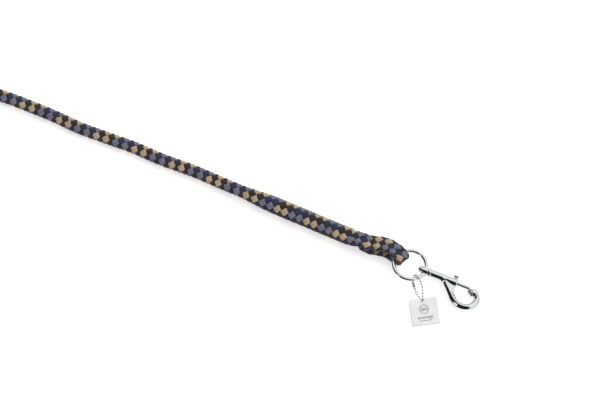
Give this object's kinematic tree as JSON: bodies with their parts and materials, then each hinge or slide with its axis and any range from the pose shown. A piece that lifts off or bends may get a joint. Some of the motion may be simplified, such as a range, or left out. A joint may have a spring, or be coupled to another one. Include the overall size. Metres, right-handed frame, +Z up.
{
  "type": "lead rope",
  "caption": "Braided lead rope with a spliced eye, a swivel ring, a sliding-bolt snap hook, and a square metal tag on a ball chain; the spare length is tied in a hank.",
  "frame": {"origin": "on the flat underside of the splice, 3 mm inside its mouth, where the eye begins", "axes": "+X runs along the rope towards the snap hook, +Y to the side away from the hook's bow, +Z up from the surface the rope lies on"},
  "size_m": [0.8365, 0.1039, 0.0296],
  "materials": {
    "braided_rope": "matte",
    "whipping_twine": "matte",
    "fused_fibre": "satin",
    "tie_webbing": "matte",
    "chrome_casting": "polished",
    "chrome_pin": "polished",
    "spring_steel": "satin",
    "ball_chain": "polished",
    "tag_plate": "satin"
  },
  "bodies": {
    "root": {"rope_run": "braided_rope", "rope_hank": "braided_rope", "end_whipping": "whipping_twine", "fused_tip": "fused_fibre", "hank_tie_far": "tie_webbing", "hank_tie_near": "tie_webbing", "splice_sleeve": "braided_rope", "buried_tail": "braided_rope", "eye_loop": "braided_rope"},
    "ring": {"swivel_ring": "chrome_casting"},
    "snap": {"swivel_pin": "chrome_pin", "snap_body": "chrome_casting", "bolt_spring": "spring_steel"},
    "bolt": {"bolt": "chrome_pin", "thumb_knob": "chrome_pin"},
    "chain": {"chain_bead_01": "ball_chain", "chain_bead_02": "ball_chain", "chain_bead_03": "ball_chain", "chain_bead_04": "ball_chain", "chain_bead_05": "ball_chain", "chain_bead_06": "ball_chain", "chain_bead_07": "ball_chain", "chain_bead_08": "ball_chain", "chain_bead_09": "ball_chain", "chain_bead_10": "ball_chain", "chain_bead_11": "ball_chain", "chain_bead_12": "ball_chain", "chain_bead_13": "ball_chain", "chain_bead_14": "ball_chain", "chain_bead_15": "ball_chain", "chain_bead_16": "ball_chain", "chain_bead_17": "ball_chain", "chain_bead_18": "ball_chain", "chain_bead_19": "ball_chain", "chain_bead_20": "ball_chain", "chain_bead_21": "ball_chain", "chain_bead_22": "ball_chain", "chain_connector": "ball_chain"},
    "tag": {"name_tag": "tag_plate"}
  },
  "joints": [
    {"name": "eye_hinge", "type": "hinge", "parent": "root", "child": "ring", "pos_m": [0.04495, -0.00082, 0.01121], "axis": [-0.3351, -0.9361, 0.1067], "range_deg": [-60, 100]},
    {"name": "swivel", "type": "hinge", "parent": "ring", "child": "snap", "pos_m": [0.062, -0.007, 0.0105], "axis": [-0.9973, 0, 0.0732], "continuous": true},
    {"name": "bolt_slide", "type": "slide", "parent": "snap", "child": "bolt", "axis": [-0.9973, 0, 0.0732], "range_m": [0, 0.0125], "stiffness_N_per_m": 400, "springref_m": -0.004, "deforming": ["bolt_spring"]},
    {"name": "chain_swing", "type": "hinge", "parent": "ring", "child": "chain", "pos_m": [0.07382, -0.02077, 0.01084], "axis": [-0.7554, -0.6457, 0.1121], "range_deg": [-60, 100]},
    {"name": "tag_swing", "type": "hinge", "parent": "chain", "child": "tag", "pos_m": [0.0899, -0.04, 0.00425], "axis": [-0.859, -0.512, 0], "range_deg": [-25, 25]}
  ]
}
